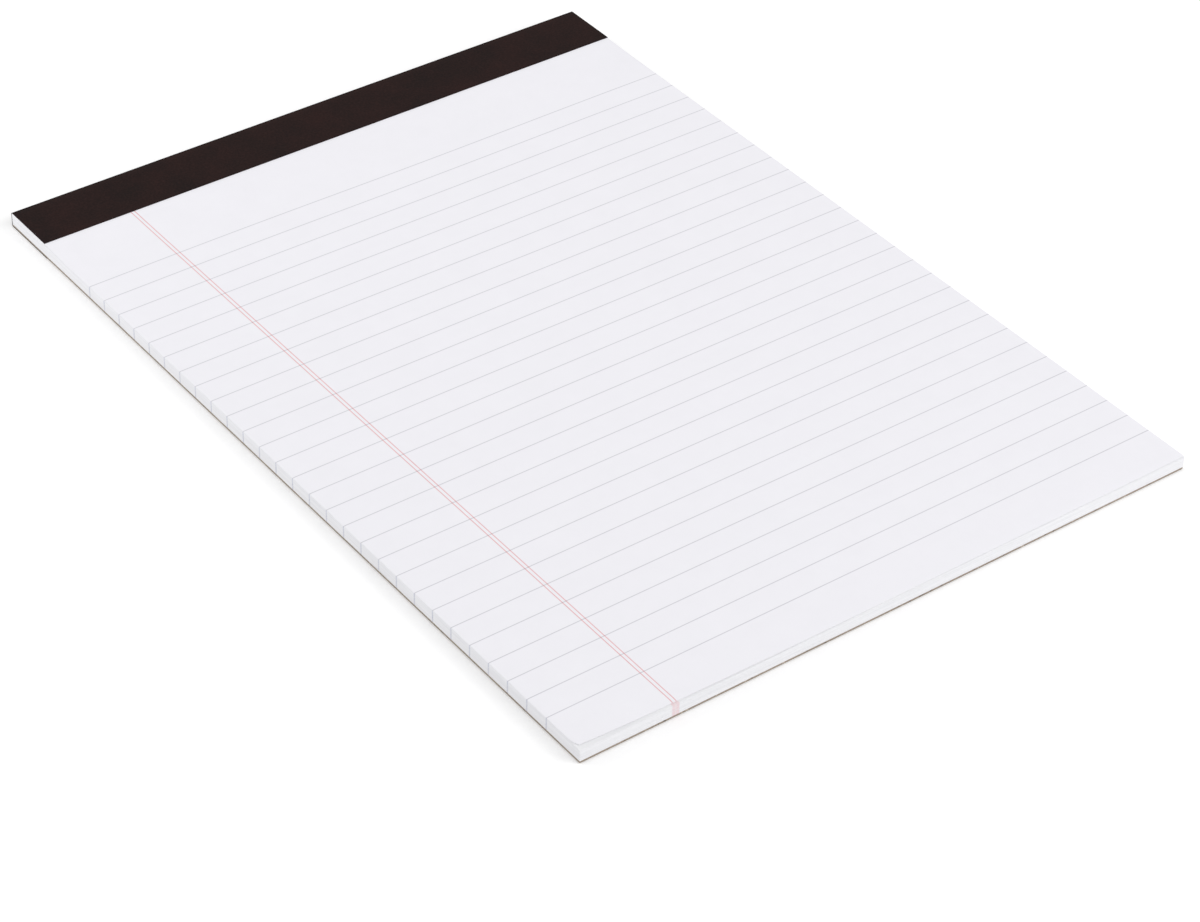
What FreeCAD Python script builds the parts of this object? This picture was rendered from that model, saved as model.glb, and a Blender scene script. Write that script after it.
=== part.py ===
import FreeCAD
import Part
import math
import os

# A ruled writing pad: fifty sheets on a stiff chipboard back, wire stitched along the head,
# with one strip of binding tape glued over the stitches, round the head and onto the back.
# Millimetres. The pad lies on its back, +Z up, with the taped head towards +Y.
# The origin is under the middle of the whole pad, at the height of its lowest face.

# Sheets and board, trimmed flush with each other all round
sheet_width = 215.9
sheet_length = 298.45
sheet_count = 50
sheet_thickness = 0.085
board_thickness = 0.6

# Edges of the head, pressed round where the tape is folded over them
head_radius_front = 0.5
head_radius_back = 0.3

# Binding tape
tape_thickness = 0.2
tape_front_depth = 20.6
tape_back_depth = 21.5
tape_bite = 0.05  # how deep the glued tape is pressed into the soft board

# Staples of flat wire under the tape
staple_count = 4
staple_width = 12.7
staple_wire_width = 0.7
staple_wire_thickness = 0.35
staple_bend = 0.3
staple_clinch = 4.6
staple_from_head = 10.0
staple_from_side = 27.0
staple_clearance = 0.02

# Heights above the surface that the pad lies on
board_bottom = tape_thickness - tape_bite
board_seat = board_bottom + tape_bite
board_top = board_bottom + board_thickness
front_face = board_top + sheet_count * sheet_thickness
tape_top = front_face + tape_thickness

# Places across and along the pad
side_x = sheet_width / 2
foot_y = -(sheet_length + tape_thickness) / 2
head_y = foot_y + sheet_length
staple_y = head_y - staple_from_head


def straight(start, end):
    return Part.LineSegment(start, end).toShape()


def side_point(y, z):
    # A point of the pad's side view, drawn on the plane of its left edge.
    return FreeCAD.Vector(-side_x, y, z)


def corner_round(centre_y, centre_z, radius, start_angle):
    # A quarter round of the side view, clockwise from its start angle.
    def at(degrees):
        angle = math.radians(degrees)
        return side_point(centre_y + radius * math.cos(angle), centre_z + radius * math.sin(angle))

    return Part.Arc(at(start_angle), at(start_angle - 45), at(start_angle - 90)).toShape()


def front_round(radius):
    # The round over the head's front edge, from the front face to the head.
    return corner_round(head_y - head_radius_front, front_face - head_radius_front, radius, 90)


def back_round(radius):
    # The round under the head's back edge, from the head to the seat of the tape.
    return corner_round(head_y - head_radius_back, board_seat + head_radius_back, radius, 0)


def side_outline(parts):
    # Joins points and rounds into one closed outline, with a straight line wherever two of them are apart.
    edges = []
    first = last = None
    for part in parts:
        if isinstance(part, FreeCAD.Vector):
            start = end = part
        else:
            start, end = part.firstVertex(True).Point, part.lastVertex(True).Point
        if last is not None and not last.isEqual(start, 1e-7):
            edges.append(straight(last, start))
        if start is not end:
            edges.append(part)
        first = first or start
        last = end
    edges.append(straight(last, first))
    return Part.Wire(edges)


def across_the_pad(outline):
    return Part.Face(outline).extrude(FreeCAD.Vector(sheet_width, 0, 0))


def make_sheets():
    # The block of sheets is glued and stitched into one.
    return across_the_pad(side_outline([
        side_point(foot_y, board_top),
        side_point(foot_y, front_face),
        front_round(head_radius_front),
        side_point(head_y, board_top),
    ]))


def make_board():
    # The board is pressed in a little where the tape is glued to its back.
    seat_y = head_y - tape_back_depth
    return across_the_pad(side_outline([
        side_point(foot_y, board_bottom),
        side_point(foot_y, board_top),
        side_point(head_y, board_top),
        back_round(head_radius_back),
        side_point(seat_y, board_seat),
        side_point(seat_y, board_bottom),
    ]))


def make_tape():
    # One strip: its front flap, the two folds and its back flap, around the head of the pad.
    front_y = head_y - tape_front_depth
    back_y = head_y - tape_back_depth
    beyond_flaps_y = min(front_y, back_y) - tape_thickness
    outside = side_outline([
        side_point(front_y, front_face),
        side_point(front_y, tape_top),
        front_round(head_radius_front + tape_thickness),
        back_round(head_radius_back + tape_thickness),
        side_point(back_y, board_seat - tape_thickness),
        side_point(back_y, board_seat),
    ])
    pad_head = side_outline([
        side_point(beyond_flaps_y, front_face),
        front_round(head_radius_front),
        back_round(head_radius_back),
        side_point(beyond_flaps_y, board_seat),
    ])
    return across_the_pad(outside).cut(across_the_pad(pad_head))


def rounded_bar(half_length, low_z, high_z, radius, width):
    # A bar of the pad's depth with its four edges along the pad rounded.
    corner = FreeCAD.Vector(-half_length, -width / 2, low_z)
    bar = Part.makeBox(2 * half_length, width, high_z - low_z, corner)
    edges = [edge for edge in bar.Edges if abs(edge.tangentAt(edge.FirstParameter).y) > 0.5]
    return bar.makeFillet(radius, edges)


def closed_staple(spare):
    # A staple as it is clinched, flush with the front sheet and with the seat of the tape. Its seat is
    # the same form, larger by a spare on every side.
    width = staple_wire_width + 2 * spare
    inner_half = staple_width / 2 - staple_wire_thickness - spare
    outer = rounded_bar(
        staple_width / 2 + spare, board_seat - spare, front_face + spare,
        staple_bend + staple_wire_thickness + spare, width,
    )
    inner = rounded_bar(
        inner_half, board_seat + staple_wire_thickness + spare,
        front_face - staple_wire_thickness - spare, staple_bend - spare, width,
    )
    between_tips = staple_width / 2 - staple_clinch - spare
    corner = FreeCAD.Vector(-between_tips, -width / 2, board_seat - spare)
    gap = Part.makeBox(2 * between_tips, width, staple_wire_thickness + 2 * spare, corner)
    return outer.cut(inner).cut(gap)


def staple_row(spare):
    # One staple at each place, as separate solids.
    first = staple_from_side - side_x
    pitch = -2 * first / (staple_count - 1)
    staple = closed_staple(spare)
    places = [FreeCAD.Vector(first + number * pitch, staple_y, 0) for number in range(staple_count)]
    return [staple.translated(place) for place in places]


def write_parts():
    seats = staple_row(staple_clearance)
    nodes = {
        "ruled_sheets": make_sheets().cut(seats),
        "backing_board": make_board().cut(seats),
        "binding_tape": make_tape(),
        "staples": Part.makeCompound(staple_row(0)),
    }
    os.makedirs("parts", exist_ok=True)
    for name, shape in nodes.items():
        shape.exportStep("parts/" + name + ".step")
        print(name, "solids", len(shape.Solids), "cubic mm", round(shape.Volume, 2), "valid", shape.isValid())


write_parts()
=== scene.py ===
import math
import bmesh
import bpy
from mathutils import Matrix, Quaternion, Vector, noise


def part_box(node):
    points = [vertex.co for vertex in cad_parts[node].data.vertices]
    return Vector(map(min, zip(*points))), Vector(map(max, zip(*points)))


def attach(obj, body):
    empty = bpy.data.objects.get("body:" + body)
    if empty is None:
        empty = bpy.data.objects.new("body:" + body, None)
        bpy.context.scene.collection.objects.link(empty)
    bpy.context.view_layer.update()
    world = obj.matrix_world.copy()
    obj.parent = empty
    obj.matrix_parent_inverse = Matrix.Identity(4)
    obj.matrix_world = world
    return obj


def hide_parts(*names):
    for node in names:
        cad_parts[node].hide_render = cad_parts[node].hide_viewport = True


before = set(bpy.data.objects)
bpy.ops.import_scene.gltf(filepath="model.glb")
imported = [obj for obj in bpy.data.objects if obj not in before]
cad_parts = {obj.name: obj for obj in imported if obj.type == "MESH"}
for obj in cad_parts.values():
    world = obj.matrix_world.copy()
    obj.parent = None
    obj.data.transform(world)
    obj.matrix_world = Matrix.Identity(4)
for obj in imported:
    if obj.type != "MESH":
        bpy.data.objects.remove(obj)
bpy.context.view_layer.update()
mm = 0.001
print("frame loaded")


# Shared tools

def linear(code):
    # sRGB hex to the linear colour that the shaders take
    channels = [int(code[place:place + 2], 16) / 255 for place in (1, 3, 5)]
    return [c / 12.92 if c <= 0.04045 else ((c + 0.055) / 1.055) ** 2.4 for c in channels] + [1.0]


def addNode(tree, kind, settings, links):
    node = tree.nodes.new("ShaderNode" + kind)
    for key, value in settings.items():
        if isinstance(key, str) and hasattr(node, key):
            setattr(node, key, value)
        else:
            node.inputs[key].default_value = value
    for key, socket in links.items():
        tree.links.new(socket, node.inputs[key])
    return node


def startMaterial(name, settings):
    # a material with its shader ready, and the tree to build on
    material = bpy.data.materials.new(name)
    material.use_nodes = True
    shader = material.node_tree.nodes["Principled BSDF"]
    for key, value in settings.items():
        shader.inputs[key].default_value = value
    return material, material.node_tree, shader


def finishPiece(bm, name, node, materials):
    # the mesh becomes an object at the origin, in the place of its CAD node
    mesh = bpy.data.meshes.new(name)
    bm.to_mesh(mesh)
    bm.free()
    piece = bpy.data.objects.new(name, mesh)
    bpy.context.scene.collection.objects.link(piece)
    for material in materials:
        mesh.materials.append(material)
    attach(piece, "root")
    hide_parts(node)
    print(name, "made:", len(mesh.polygons), "faces")
    return piece


def cutLoops(bm, axis, places):
    # edge loops straight through the mesh, square to an axis
    normal = Vector((axis == 0, axis == 1, axis == 2))
    for place in places:
        geom = bm.verts[:] + bm.edges[:] + bm.faces[:]
        bmesh.ops.bisect_plane(bm, geom=geom, dist=1e-7, plane_co=normal * place, plane_no=normal)


def smoothBySharpness(bm):
    # smooth over rounds and flats, with the sharp edges kept
    for face in bm.faces:
        face.smooth = True
    for edge in bm.edges:
        edge.smooth = edge.calc_face_angle(0) < 0.6


def evenPlaces(low, high, count):
    return [low + (high - low) * step / count for step in range(1, count)]


def fadeIn(value, length):
    # 0 at the start, 1 from the length on, with soft ends
    share = min(max(value / length, 0.0), 1.0)
    return share * share * (3 - 2 * share)


# Places that several pieces share, from the frame

sheetsLow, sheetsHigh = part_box("ruled_sheets")
boardLow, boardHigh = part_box("backing_board")
tapeLow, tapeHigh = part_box("binding_tape")

tape = {
    "thickness": tapeHigh.z - sheetsHigh.z,
    "frontDepth": 20.6 * mm,
    "frontFold": 0.7 * mm,
    "backFold": 0.5 * mm,
    "foldSegments": 6,
    "acrossLoops": 48,
    "raggedEdge": 0.05 * mm, "raggedLength": 9 * mm,
}
tapeEdgeY = sheetsHigh.y - tape["frontDepth"]


# Print on the sheets

ruling = {
    "spacing": 8.731 * mm,                      # wide ruled, 11/32 in
    "rules": 28,
    "lastFromFoot": 14.9 * mm,
    "ruleWidth": 0.3 * mm,
    "marginPlaces": (30.7 * mm, 31.92 * mm),    # from the left edge
    "marginWidth": 0.33 * mm,
    "softEdge": 0.1 * mm,                       # ink feathers into uncoated paper
    "ruleEndWidth": 0.5 * mm,                   # wider on the cut edges, where no two sheets line up
    "marginEndWidth": 1.15 * mm,
    "endSoft": 0.25 * mm,
    "sheetShift": 0.3 * mm,
}
firstRuleY = sheetsLow.y + ruling["lastFromFoot"] + (ruling["rules"] - 1) * ruling["spacing"]


def lineMask(tree, distance, width, soft):
    # 1 on a printed line, 0 off it, from the distance to its middle
    spread = addNode(tree, "MapRange", {
        "interpolation_type": "SMOOTHSTEP",
        "From Min": width / 2 - soft, "From Max": width / 2 + soft, "To Min": 1.0, "To Max": 0.0,
    }, {"Value": distance})
    return spread.outputs[0]


def ruleMask(tree, y, width, soft):
    # distance to the nearest of the rules, which stop at the first and the last
    pitch = ruling["spacing"]
    along = addNode(tree, "Math", {"operation": "MULTIPLY_ADD", 1: -1 / pitch, 2: firstRuleY / pitch}, {0: y})
    nearest = addNode(tree, "Math", {"operation": "ROUND"}, {0: along.outputs[0]})
    kept = addNode(tree, "Clamp", {"Max": ruling["rules"] - 1.0}, {"Value": nearest.outputs[0]})
    off = addNode(tree, "Math", {"operation": "SUBTRACT"}, {0: along.outputs[0], 1: kept.outputs[0]})
    size = addNode(tree, "Math", {"operation": "ABSOLUTE"}, {0: off.outputs[0]})
    distance = addNode(tree, "Math", {"operation": "MULTIPLY", 1: pitch}, {0: size.outputs[0]})
    return lineMask(tree, distance.outputs[0], width, soft)


def marginMask(tree, x, width, soft):
    # distance to the nearer of the two margin lines
    distances = []
    for place in ruling["marginPlaces"]:
        off = addNode(tree, "Math", {"operation": "SUBTRACT", 1: sheetsLow.x + place}, {0: x})
        size = addNode(tree, "Math", {"operation": "ABSOLUTE"}, {0: off.outputs[0]})
        distances.append(size.outputs[0])
    nearer = addNode(tree, "Math", {"operation": "MINIMUM"}, {0: distances[0], 1: distances[1]})
    return lineMask(tree, nearer.outputs[0], width, soft)


def inked(tree, paper, mask, density, ink):
    # ink darkens the paper under it, so that a rule shows through a margin line
    strength = addNode(tree, "Math", {"operation": "MULTIPLY"}, {0: mask, 1: density})
    mix = addNode(tree, "Mix", {"data_type": "RGBA", "blend_type": "MULTIPLY", 7: linear(ink)},
                  {0: strength.outputs[0], 6: paper})
    return mix.outputs[2]


# Materials

def makeWritingPaper():
    # uncoated writing paper, calendered: even bluish white with a faint cloud in it and a fine tooth
    look = {
        "thin": "#EFEEF3", "dense": "#F3F2F7",
        "cloud": 9 * mm, "tooth": 0.35 * mm,    # the real tooth is finer, drawn as coarse as it shows
        "ruleInk": "#D8D8DA", "marginInk": "#F1BEBD",
    }
    material, tree, shader = startMaterial("writingPaper", {"Roughness": 0.88, "Specular IOR Level": 0.3})
    place = addNode(tree, "TexCoord", {}, {}).outputs["Object"]
    split = addNode(tree, "SeparateXYZ", {}, {0: place})
    cloud = addNode(tree, "TexNoise", {"Scale": 1 / look["cloud"], "Detail": 3.0, "Roughness": 0.6},
                    {"Vector": place})
    tooth = addNode(tree, "TexNoise", {"Scale": 1 / look["tooth"], "Detail": 4.0, "Roughness": 0.65},
                    {"Vector": place})
    paper = addNode(tree, "Mix", {"data_type": "RGBA", 6: linear(look["thin"]), 7: linear(look["dense"])},
                    {0: cloud.outputs["Fac"]})
    density = addNode(tree, "MapRange", {"From Min": 0.3, "From Max": 0.6, "To Min": 0.82, "To Max": 1.0},
                      {"Value": tooth.outputs["Fac"]})
    rules = ruleMask(tree, split.outputs["Y"], ruling["ruleWidth"], ruling["softEdge"])
    margin = marginMask(tree, split.outputs["X"], ruling["marginWidth"], ruling["softEdge"])
    ruled = inked(tree, paper.outputs[2], rules, density.outputs[0], look["ruleInk"])
    printed = inked(tree, ruled, margin, density.outputs[0], look["marginInk"])
    bump = addNode(tree, "Bump", {"Strength": 0.12, "Distance": 0.02 * mm}, {"Height": tooth.outputs["Fac"]})
    tree.links.new(printed, shader.inputs["Base Color"])
    tree.links.new(bump.outputs[0], shader.inputs["Normal"])
    return material


def makeCutEdges():
    # the guillotined edges of the sheets: fine lines of painted shade along the block, standing for the
    # shadow between sheets, and the print's ends in it
    look = {
        "bright": "#F4F4F6", "shade": "#E7E7EA",
        "sheet": 0.085 * mm, "bundle": 0.42 * mm,   # bundles show where single sheets are too fine
        "run": 34 * mm,
        "ruleInk": "#D3D6E2", "marginInk": "#FCE3E4",
    }
    material, tree, shader = startMaterial("cutPaperEdges", {"Roughness": 0.92, "Specular IOR Level": 0.2})
    place = addNode(tree, "TexCoord", {}, {}).outputs["Object"]
    split = addNode(tree, "SeparateXYZ", {}, {0: place})
    layers = []
    for pitch in (look["sheet"], look["bundle"]):
        stretch = (1 / look["run"], 1 / look["run"], 1 / pitch)
        squeezed = addNode(tree, "Mapping", {"Scale": stretch}, {"Vector": place})
        lines = addNode(tree, "TexNoise", {"Scale": 1.0, "Detail": 2.0, "Roughness": 0.7},
                        {"Vector": squeezed.outputs[0]})
        layers.append(lines.outputs["Fac"])
    both = addNode(tree, "Math", {"operation": "ADD"}, {0: layers[0], 1: layers[1]})
    # painted shade: the sheet-pitch noise mixes the edge colour from bright to shade, as shadow between the
    # sheets
    shade = addNode(tree, "MapRange", {"From Min": 0.7, "From Max": 1.3}, {"Value": both.outputs[0]})
    paper = addNode(tree, "Mix", {"data_type": "RGBA", 6: linear(look["shade"]), 7: linear(look["bright"])},
                    {0: shade.outputs[0]})
    # each sheet lies a little to one side of the next, so a line's ends make a ragged stripe
    level = addNode(tree, "TexNoise", {"noise_dimensions": "1D", "Scale": 1 / look["bundle"], "Detail": 4.0},
                    {"W": split.outputs["Z"]})
    shift = addNode(tree, "MapRange", {"To Min": -ruling["sheetShift"], "To Max": ruling["sheetShift"]},
                    {"Value": level.outputs["Fac"]})
    shiftedY = addNode(tree, "Math", {"operation": "ADD"}, {0: split.outputs["Y"], 1: shift.outputs[0]})
    shiftedX = addNode(tree, "Math", {"operation": "ADD"}, {0: split.outputs["X"], 1: shift.outputs[0]})
    rules = ruleMask(tree, shiftedY.outputs[0], ruling["ruleEndWidth"], ruling["endSoft"])
    margin = marginMask(tree, shiftedX.outputs[0], ruling["marginEndWidth"], ruling["endSoft"])
    density = addNode(tree, "MapRange", {"From Min": 0.35, "From Max": 0.65, "To Min": 0.45, "To Max": 1.0},
                      {"Value": layers[1]})
    ruled = inked(tree, paper.outputs[2], rules, density.outputs[0], look["ruleInk"])
    printed = inked(tree, ruled, margin, density.outputs[0], look["marginInk"])
    bump = addNode(tree, "Bump", {"Strength": 0.25, "Distance": 0.03 * mm}, {"Height": both.outputs[0]})
    tree.links.new(printed, shader.inputs["Base Color"])
    tree.links.new(bump.outputs[0], shader.inputs["Normal"])
    return material


def makeBindingPaper():
    # dyed kraft binding tape with a fine pressed grain: nearly black brown, matt, with a soft bloom of light
    look = {
        "deep": "#140908", "worn": "#271614",
        "grain": 0.7 * mm, "patch": 12 * mm, "fibre": 0.15 * mm,
        "grainTone": 0.55, "fibreHeight": 0.35,     # beside the patches, and beside the grain
    }
    material, tree, shader = startMaterial("bindingPaper", {"Specular IOR Level": 0.09})
    place = addNode(tree, "TexCoord", {}, {}).outputs["Object"]
    grain = addNode(tree, "TexVoronoi", {
        "feature": "SMOOTH_F1", "Scale": 1 / look["grain"], "Smoothness": 0.6,
    }, {"Vector": place})
    patch = addNode(tree, "TexNoise", {"Scale": 1 / look["patch"], "Detail": 3.0}, {"Vector": place})
    fibre = addNode(tree, "TexNoise", {"Scale": 1 / look["fibre"], "Detail": 3.0}, {"Vector": place})
    mottled = addNode(tree, "Math", {"operation": "MULTIPLY_ADD", 1: look["grainTone"]},
                      {0: grain.outputs["Distance"], 2: patch.outputs["Fac"]})
    share = addNode(tree, "MapRange", {"From Min": 0.45, "From Max": 1.05}, {"Value": mottled.outputs[0]})
    colour = addNode(tree, "Mix", {"data_type": "RGBA", 6: linear(look["deep"]), 7: linear(look["worn"])},
                     {0: share.outputs[0]})
    dullness = addNode(tree, "MapRange", {"To Min": 0.66, "To Max": 0.8}, {"Value": patch.outputs["Fac"]})
    height = addNode(tree, "Math", {"operation": "MULTIPLY_ADD", 1: look["fibreHeight"]},
                     {0: fibre.outputs["Fac"], 2: grain.outputs["Distance"]})
    bump = addNode(tree, "Bump", {"Strength": 0.35, "Distance": 0.05 * mm}, {"Height": height.outputs[0]})
    tree.links.new(colour.outputs[2], shader.inputs["Base Color"])
    tree.links.new(dullness.outputs[0], shader.inputs["Roughness"])
    tree.links.new(bump.outputs[0], shader.inputs["Normal"])
    return material


def makeChipboard():
    # grey-brown chipboard from mixed waste paper: an even felt of short fibres with dark and pale scraps
    look = {
        "pale": "#AA9C8D", "dark": "#918376", "darkScrap": "#655B52", "paleScrap": "#C9BDAF",
        "cloud": 24 * mm, "fibre": 0.7 * mm, "scrap": 1.3 * mm,
        "cloudTone": 0.6,                           # beside the fibres
    }
    material, tree, shader = startMaterial("chipboard", {"Roughness": 0.93, "Specular IOR Level": 0.2})
    place = addNode(tree, "TexCoord", {}, {}).outputs["Object"]
    cloud = addNode(tree, "TexNoise", {"Scale": 1 / look["cloud"], "Detail": 5.0, "Roughness": 0.6},
                    {"Vector": place})
    lying = addNode(tree, "Mapping", {"Scale": (1.0, 1.6, 1.0)}, {"Vector": place})
    fibre = addNode(tree, "TexNoise", {
        "Scale": 1 / look["fibre"], "Detail": 4.0, "Roughness": 0.75, "Distortion": 1.2,
    }, {"Vector": lying.outputs[0]})
    scraps = addNode(tree, "TexNoise", {"Scale": 1 / look["scrap"], "Detail": 1.0},
                     {"Vector": lying.outputs[0]})
    tone = addNode(tree, "Math", {"operation": "MULTIPLY_ADD", 1: look["cloudTone"]},
                   {0: cloud.outputs["Fac"], 2: fibre.outputs["Fac"]})
    share = addNode(tree, "MapRange", {"From Min": 0.55, "From Max": 1.05}, {"Value": tone.outputs[0]})
    board = addNode(tree, "Mix", {"data_type": "RGBA", 6: linear(look["dark"]), 7: linear(look["pale"])},
                    {0: share.outputs[0]})
    # the highest and the lowest of one noise are the scraps, so a dark and a pale one never meet
    isDark = addNode(tree, "MapRange", {"From Min": 0.67, "From Max": 0.71, "To Max": 0.8},
                     {"Value": scraps.outputs["Fac"]})
    isPale = addNode(tree, "MapRange", {"From Min": 0.33, "From Max": 0.29, "To Max": 0.7},
                     {"Value": scraps.outputs["Fac"]})
    darker = addNode(tree, "Mix", {"data_type": "RGBA", 7: linear(look["darkScrap"])},
                     {0: isDark.outputs[0], 6: board.outputs[2]})
    mixed = addNode(tree, "Mix", {"data_type": "RGBA", 7: linear(look["paleScrap"])},
                    {0: isPale.outputs[0], 6: darker.outputs[2]})
    bump = addNode(tree, "Bump", {"Strength": 0.3, "Distance": 0.05 * mm}, {"Height": fibre.outputs["Fac"]})
    tree.links.new(mixed.outputs[2], shader.inputs["Base Color"])
    tree.links.new(bump.outputs[0], shader.inputs["Normal"])
    return material


def makeStitchingWire():
    # galvanised flat wire: pale dull zinc with faint drawing lines
    look = {"zinc": "#B9BBBD", "dull": "#9A9DA0", "line": 0.08 * mm}
    material, tree, shader = startMaterial("galvanisedWire", {"Metallic": 1.0})
    place = addNode(tree, "TexCoord", {}, {}).outputs["Object"]
    drawn = addNode(tree, "TexNoise", {"Scale": 1 / look["line"], "Detail": 2.0}, {"Vector": place})
    colour = addNode(tree, "Mix", {"data_type": "RGBA", 6: linear(look["dull"]), 7: linear(look["zinc"])},
                     {0: drawn.outputs["Fac"]})
    dullness = addNode(tree, "MapRange", {"To Min": 0.32, "To Max": 0.5}, {"Value": drawn.outputs["Fac"]})
    tree.links.new(colour.outputs[2], shader.inputs["Base Color"])
    tree.links.new(dullness.outputs[0], shader.inputs["Roughness"])
    return material


writingPaper = makeWritingPaper()
cutEdges = makeCutEdges()
bindingPaper = makeBindingPaper()
chipboard = makeChipboard()
galvanisedWire = makeStitchingWire()
print("materials made")


# Sheets: a block of fifty, each with its own edge, that lies a little uneven below the tape

sheetBlock = {
    "sheets": 50,
    "across": 44, "along": 60,          # even loops
    "edgeLoops": (0.2 * mm, 0.5 * mm, 0.8 * mm, 1.2 * mm, 1.7 * mm, 2.3 * mm, 3.0 * mm, 4.0 * mm),
    "headRound": 0.5 * mm,
    "seam": 0.025 * mm,                 # the groove between two sheets
    "uneven": 0.035 * mm,               # how far a sheet's edge is from the cut
    "unevenLength": 30 * mm,
    "sideDroop": 0.1 * mm, "sideReach": 0.8 * mm,
    "footDroop": 0.18 * mm, "footReach": 1.4 * mm,
    "droopCurve": 1.3, "droopFade": 5,  # in from the edge, and down through the block
    "droopStart": 6 * mm,               # below the tape, as the lie's start is
    "looseSheets": 4,                   # the top few lie a little back from the foot, most of all at its left
    "setBack": 0.25 * mm, "cornerSetBack": 1.7 * mm, "setBackLength": 28 * mm, "setBackReach": 8 * mm,
    "cornerRound": 1.1 * mm, "cornerReach": 1.4 * mm,
    "underCut": 0.1 * mm,
    "swell": 0.5 * mm, "swellReach": 55 * mm, "swellLength": 150 * mm, "swellTurn": 0.9,
    "lie": 0.16 * mm, "lieLength": 95 * mm, "lieStart": 14 * mm, "lieFade": 1.5,
}


def paperDrop(x, y):
    # how far the front sheet lies below the plane of the tape
    part = sheetBlock
    below = tapeEdgeY - y
    if below <= 0:
        return 0.0
    swell = 0.5 + 0.5 * math.sin(2 * math.pi * x / part["swellLength"] + part["swellTurn"])
    drop = part["swell"] * swell * math.exp(-below / part["swellReach"])
    drop += part["lie"] * (0.5 + 0.5 * noise.noise(Vector((x, y, 0.3)) / part["lieLength"]))
    return drop * fadeIn(below, part["lieStart"])


def edgeDrop(x, y):
    # the cut presses the top few sheets down along the edges
    part = sheetBlock
    toSide = min(x - sheetsLow.x, sheetsHigh.x - x)
    toFoot = y - sheetsLow.y
    byFoot = part["footDroop"] * max(0, 1 - toFoot / part["footReach"]) ** part["droopCurve"]
    bySide = part["sideDroop"] * max(0, 1 - toSide / part["sideReach"]) ** part["droopCurve"]
    return math.hypot(byFoot, bySide) * fadeIn(tapeEdgeY - y, part["droopStart"])


def setLooseSheetBack(co, lowest):
    # a loose sheet's foot edge lies back, and its corner is rounded by handling
    part = sheetBlock
    toLeft, toFoot = co.x - sheetsLow.x, co.y - sheetsLow.y
    back = part["setBack"] + part["cornerSetBack"] * math.exp(-toLeft / part["setBackLength"])
    back += part["underCut"] * lowest
    inwards = part["cornerRound"] * math.exp(-toFoot / part["cornerReach"])
    co.x += inwards * max(0, 1 - toLeft / part["setBackReach"])
    co.y += back * max(0, 1 - toFoot / part["setBackReach"])


def cutUnevenness(x, y, sheet):
    # how much further in than the next a sheet's edge lies here, as a share
    length = sheetBlock["unevenLength"]
    along = noise.noise(Vector((x / length, y / length, sheet * 1.7)))
    whole = noise.noise(Vector((0.5, 0.5, sheet * 0.23)))
    return along + whole


def settleSheets(bm, halfSheet):
    part = sheetBlock
    height = sheetsHigh.z - sheetsLow.z
    centreY, centreZ = sheetsHigh.y - part["headRound"], sheetsHigh.z - part["headRound"]
    looseFrom = 2 * (part["sheets"] - part["looseSheets"]) + 1      # in half sheets
    for vert in bm.verts:
        x, y, z = vert.co
        level = round((z - sheetsLow.z) / halfSheet)
        atSide = (x > sheetsHigh.x - 1e-6) - (x < sheetsLow.x + 1e-6)
        atEnd = (y > sheetsHigh.y - 1e-6) - (y < sheetsLow.y + 1e-6)
        if atSide or atEnd:
            cut = cutUnevenness(x, y, (level + 1) // 2)
            inwards = part["uneven"] * (1 + 0.5 * cut) + part["seam"] * (level % 2 == 0)
            vert.co.x -= atSide * inwards
            vert.co.y -= atEnd * inwards
        if level >= looseFrom:
            setLooseSheetBack(vert.co, level == looseFrom)
        share = (z - sheetsLow.z) / height
        vert.co.z -= paperDrop(x, y) * share ** part["lieFade"] + edgeDrop(x, y) * share ** part["droopFade"]
        offY, offZ = vert.co.y - centreY, vert.co.z - centreZ
        reach = math.hypot(offY, offZ)
        if offY > 0 and offZ > 0 and reach > part["headRound"]:
            vert.co.y = centreY + offY * part["headRound"] / reach
            vert.co.z = centreZ + offZ * part["headRound"] / reach


def makeSheets():
    part = sheetBlock
    size = sheetsHigh - sheetsLow
    middle = (sheetsHigh + sheetsLow) / 2
    halfSheet = size.z / part["sheets"] / 2
    bm = bmesh.new()
    bmesh.ops.create_grid(bm, x_segments=part["across"], y_segments=part["along"], size=0.5)
    bmesh.ops.scale(bm, vec=(size.x, size.y, 1), verts=bm.verts)
    bmesh.ops.translate(bm, vec=(middle.x, middle.y, sheetsLow.z), verts=bm.verts)
    loops = part["edgeLoops"]
    cutLoops(bm, 0, [sheetsLow.x + step for step in loops] + [sheetsHigh.x - step for step in loops])
    cutLoops(bm, 1, [sheetsLow.y + step for step in loops] + [sheetsHigh.y - step for step in loops])
    cutLoops(bm, 1, [tapeEdgeY, tapeEdgeY - 3 * mm, sheetsHigh.y - part["headRound"]])
    raised = bmesh.ops.extrude_face_region(bm, geom=bm.faces[:])["geom"]
    moved = [piece for piece in raised if isinstance(piece, bmesh.types.BMVert)]
    bmesh.ops.translate(bm, vec=(0, 0, size.z), verts=moved)
    upright = [edge for edge in bm.edges if abs(edge.verts[0].co.z - edge.verts[1].co.z) > halfSheet]
    bmesh.ops.subdivide_edges(bm, edges=upright, cuts=2 * part["sheets"] - 1)
    bmesh.ops.recalc_face_normals(bm, faces=bm.faces)
    for face in bm.faces:
        flat = abs(face.normal.z) > 0.5
        face.material_index = 0 if flat else 1
        face.smooth = flat
    settleSheets(bm, halfSheet)
    return finishPiece(bm, "sheetBlock", "ruled_sheets", [writingPaper, cutEdges])


# Board: a guillotined sheet of chipboard, thinner by a hair where the tape's flap is pressed in

board = {
    "seatHeight": boardLow.z + 0.05 * mm,   # above the table
    "headRound": 0.3 * mm,
    "crushed": 0.09 * mm,
    "rough": 0.03 * mm, "roughLength": 4 * mm, "roughBand": 0.2 * mm,
    "across": 40, "along": 56,
}


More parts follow.
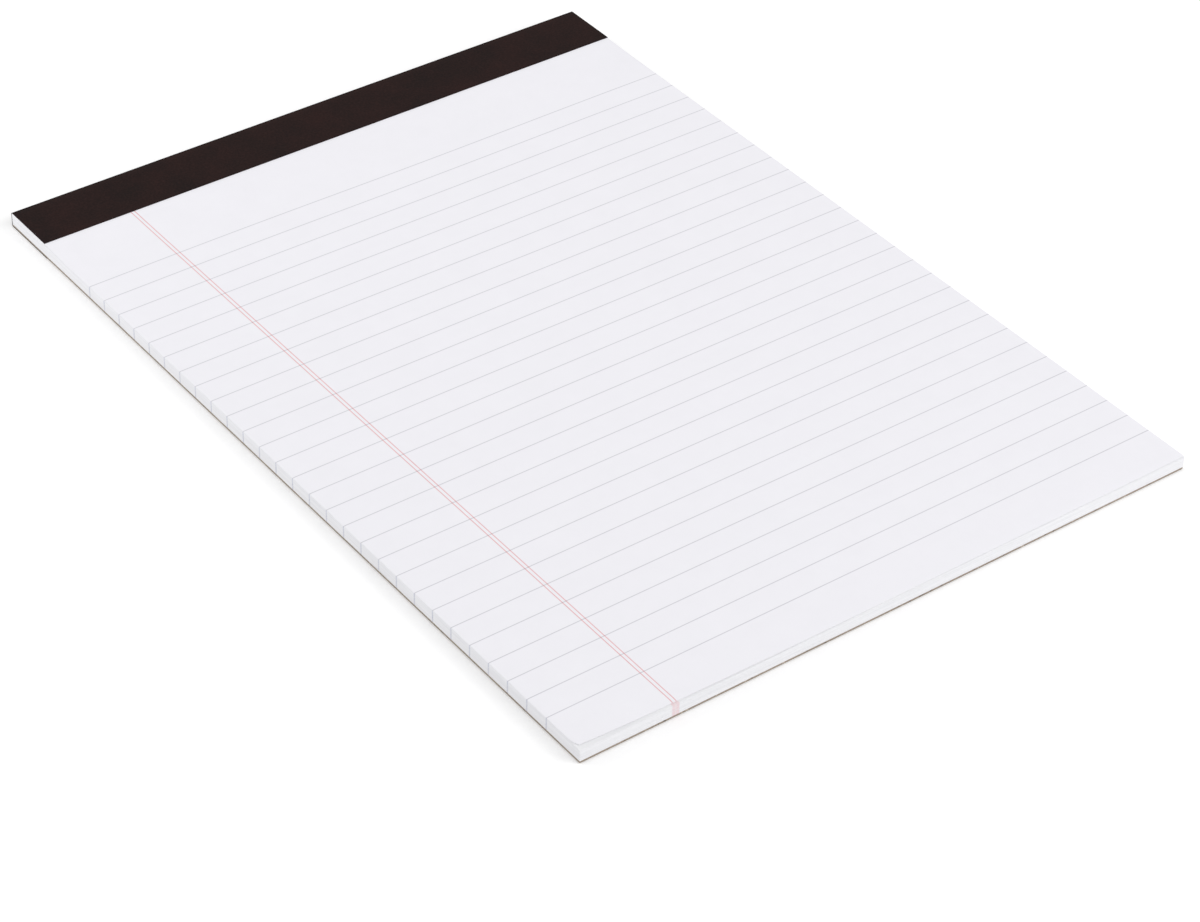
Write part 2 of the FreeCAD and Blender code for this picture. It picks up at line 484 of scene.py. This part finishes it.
def makeBoard():
    part = board
    seatY = tapeLow.y
    corners = [
        (boardLow.y, boardLow.z), (boardLow.y, boardHigh.z), (boardHigh.y, boardHigh.z),
        (boardHigh.y, part["seatHeight"]), (seatY, part["seatHeight"]), (seatY, boardLow.z),
    ]
    bm = bmesh.new()
    side = bm.faces.new([bm.verts.new((boardLow.x, y, z)) for y, z in corners])
    raised = bmesh.ops.extrude_face_region(bm, geom=[side])["geom"]
    moved = [piece for piece in raised if isinstance(piece, bmesh.types.BMVert)]
    bmesh.ops.translate(bm, vec=(boardHigh.x - boardLow.x, 0, 0), verts=moved)
    bmesh.ops.recalc_face_normals(bm, faces=bm.faces)
    headEdge = [edge for edge in bm.edges
                if all(v.co.y > boardHigh.y - 1e-6 and v.co.z < boardHigh.z - 1e-6 for v in edge.verts)]
    bmesh.ops.bevel(bm, geom=headEdge, offset=part["headRound"], segments=4, profile=0.5,
                    affect="EDGES", material=-1)
    sharp = [edge for edge in bm.edges if edge.calc_face_angle(0) > 1.0 and edge.is_convex]
    bmesh.ops.bevel(bm, geom=sharp, offset=part["crushed"], segments=2, profile=0.5,
                    affect="EDGES", material=-1)
    cutLoops(bm, 0, evenPlaces(boardLow.x, boardHigh.x, part["across"]))
    cutLoops(bm, 1, evenPlaces(boardLow.y, boardHigh.y, part["along"]))
    for vert in bm.verts:
        x, y, z = vert.co
        nearEdge = min(x - boardLow.x, boardHigh.x - x, y - boardLow.y) < part["roughBand"]
        if nearEdge and y < seatY:
            inwards = part["rough"] * (0.5 + 0.5 * noise.noise(Vector((x, y, z)) / part["roughLength"]))
            vert.co.x -= math.copysign(inwards, x)
            vert.co.y += inwards
    smoothBySharpness(bm)
    return finishPiece(bm, "chipboardBack", "backing_board", [chipboard])


# Tape: one strip folded over the head

def makeTape():
    part = tape
    path = [
        (tapeEdgeY, tapeHigh.z), (tapeHigh.y, tapeHigh.z), (tapeHigh.y, tapeLow.z), (tapeLow.y, tapeLow.z),
    ]
    bm = bmesh.new()
    points = [bm.verts.new((tapeLow.x, y, z)) for y, z in path]
    edges = [bm.edges.new(pair) for pair in zip(points, points[1:])]
    raised = bmesh.ops.extrude_edge_only(bm, edges=edges)["geom"]
    moved = [piece for piece in raised if isinstance(piece, bmesh.types.BMVert)]
    bmesh.ops.translate(bm, vec=(tapeHigh.x - tapeLow.x, 0, 0), verts=moved)
    for height, radius in ((tapeHigh.z, part["frontFold"]), (tapeLow.z, part["backFold"])):
        fold = [edge for edge in bm.edges
                if all(abs(v.co.z - height) < 1e-6 and abs(v.co.y - tapeHigh.y) < 1e-6 for v in edge.verts)]
        bmesh.ops.bevel(bm, geom=fold, offset=radius, segments=part["foldSegments"], profile=0.5,
                        affect="EDGES", material=-1)
    cutLoops(bm, 0, evenPlaces(tapeLow.x, tapeHigh.x, part["acrossLoops"]))
    cutLoops(bm, 1, evenPlaces(tapeEdgeY, tapeHigh.y - part["frontFold"], 6))
    for vert in bm.verts:
        atCut = abs(vert.co.y - tapeEdgeY) < 1e-6 and vert.co.z > sheetsLow.z
        if atCut:
            ragged = 0.5 + 0.5 * noise.noise(Vector((vert.co.x / part["raggedLength"], 0.4, 0.2)))
            vert.co.y += part["raggedEdge"] * ragged
    bmesh.ops.recalc_face_normals(bm, faces=bm.faces)
    outwards = max(bm.faces, key=lambda face: face.calc_center_median().z).normal.z > 0
    if not outwards:
        bmesh.ops.reverse_faces(bm, faces=bm.faces)
    bmesh.ops.solidify(bm, geom=bm.faces[:], thickness=part["thickness"])
    smoothBySharpness(bm)
    return finishPiece(bm, "bindingStrip", "binding_tape", [bindingPaper])


makeSheets()
makeBoard()
makeTape()
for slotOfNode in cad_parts["staples"].material_slots:
    slotOfNode.material = galvanisedWire
print("pieces made")


# Studio

studio = {
    "floorSize": 30.0, "floorGap": 0.02 * mm,
    "floorSeen": "#FFFFFF", "floorLit": "#F2F2F3",
    "skyLight": 0.68, "sky": "#FFFFFF",
    "floorLift": (0.1, 0.36), "liftFrom": 0.5, "liftTo": 1.5,     # to the eye only: white to the far edge
}

panels = {
    "keyPanel": {"place": (0.9, -1.05, 0.85), "size": 1.1, "power": 10.6},
    "fillPanel": {"place": (-0.6, 0.75, 0.45), "size": 0.8, "power": 3.8},
}


def makeFloor():
    part = studio
    bm = bmesh.new()
    bmesh.ops.create_grid(bm, x_segments=1, y_segments=1, size=part["floorSize"] / 2)
    bmesh.ops.translate(bm, vec=(0, 0, -part["floorGap"]), verts=bm.verts)
    mesh = bpy.data.meshes.new("studioFloor")
    bm.to_mesh(mesh)
    bm.free()
    floor = bpy.data.objects.new("studioFloor", mesh)
    bpy.context.scene.collection.objects.link(floor)
    material, tree, shader = startMaterial("floorPaper", {"Roughness": 0.95, "Specular IOR Level": 0.0})
    ray = addNode(tree, "LightPath", {}, {})
    seen = addNode(tree, "Math", {"operation": "MAXIMUM"},
                   {0: ray.outputs["Is Camera Ray"], 1: ray.outputs["Is Glossy Ray"]})
    colour = addNode(tree, "Mix", {
        "data_type": "RGBA", 6: linear(part["floorLit"]), 7: linear(part["floorSeen"]),
    }, {0: seen.outputs[0]})
    place = addNode(tree, "TexCoord", {}, {}).outputs["Object"]
    away = addNode(tree, "VectorMath", {"operation": "LENGTH"}, {0: place})
    near, far = part["floorLift"]
    glow = addNode(tree, "MapRange", {
        "From Min": part["liftFrom"], "From Max": part["liftTo"], "To Min": near, "To Max": far,
    }, {"Value": away.outputs["Value"]})
    lift = addNode(tree, "Math", {"operation": "MULTIPLY"}, {0: glow.outputs[0], 1: seen.outputs[0]})
    shader.inputs["Emission Color"].default_value = linear(part["floorSeen"])
    tree.links.new(colour.outputs[2], shader.inputs["Base Color"])
    tree.links.new(lift.outputs[0], shader.inputs["Emission Strength"])
    # from below the floor is clear, so that the pad's back can be looked at
    below = addNode(tree, "Math", {"operation": "MAXIMUM"}, {
        0: addNode(tree, "NewGeometry", {}, {}).outputs["Backfacing"], 1: ray.outputs["Transparent Depth"],
    })
    clear = addNode(tree, "BsdfTransparent", {}, {})
    shown = addNode(tree, "MixShader", {}, {0: below.outputs[0], 1: shader.outputs[0], 2: clear.outputs[0]})
    tree.links.new(shown.outputs[0], tree.nodes["Material Output"].inputs["Surface"])
    mesh.materials.append(material)


def makeLights():
    part = studio
    world = bpy.data.worlds.new("softRoom")
    world.use_nodes = True
    tree = world.node_tree
    ray = addNode(tree, "LightPath", {}, {})
    seen = addNode(tree, "Math", {"operation": "MAXIMUM"},
                   {0: ray.outputs["Is Camera Ray"], 1: ray.outputs["Is Glossy Ray"]})
    strength = addNode(tree, "MapRange", {"To Min": part["skyLight"], "To Max": 1.0},
                       {"Value": seen.outputs[0]})
    background = tree.nodes["Background"]
    background.inputs["Color"].default_value = linear(part["sky"])
    tree.links.new(strength.outputs[0], background.inputs["Strength"])
    bpy.context.scene.world = world
    for name, setting in panels.items():
        lamp = bpy.data.lights.new(name, "AREA")
        lamp.size = setting["size"]
        lamp.energy = setting["power"]
        panel = bpy.data.objects.new(name, lamp)
        panel.location = setting["place"]
        panel.rotation_mode = "QUATERNION"
        panel.rotation_quaternion = (-Vector(setting["place"])).to_track_quat("-Z", "Y")
        bpy.context.scene.collection.objects.link(panel)


# Camera: where the photograph was taken from, found from the pad's corners and rules

camera = {
    "aim": (-31.9 * mm, -55.5 * mm, 5.0 * mm),
    "azimuth": -37.74, "elevation": 38.12, "roll": 1.86,
    "distance": 996.4 * mm,
    "lens": 104.9,
}


def makeCamera():
    part = camera
    turn, rise = math.radians(part["azimuth"]), math.radians(part["elevation"])
    back = Vector((math.sin(turn) * math.cos(rise), -math.cos(turn) * math.cos(rise), math.sin(rise)))
    data = bpy.data.cameras.new("studioCamera")
    data.lens = part["lens"]
    eye = bpy.data.objects.new("studioCamera", data)
    eye.location = Vector(part["aim"]) + back * part["distance"]
    eye.rotation_mode = "QUATERNION"
    roll = Quaternion((0, 0, 1), math.radians(part["roll"]))
    eye.rotation_quaternion = (-back).to_track_quat("-Z", "Y") @ roll
    bpy.context.scene.collection.objects.link(eye)
    bpy.context.scene.camera = eye


makeFloor()
makeLights()
makeCamera()
bpy.context.scene.view_settings.view_transform = "Standard"
print("studio made")
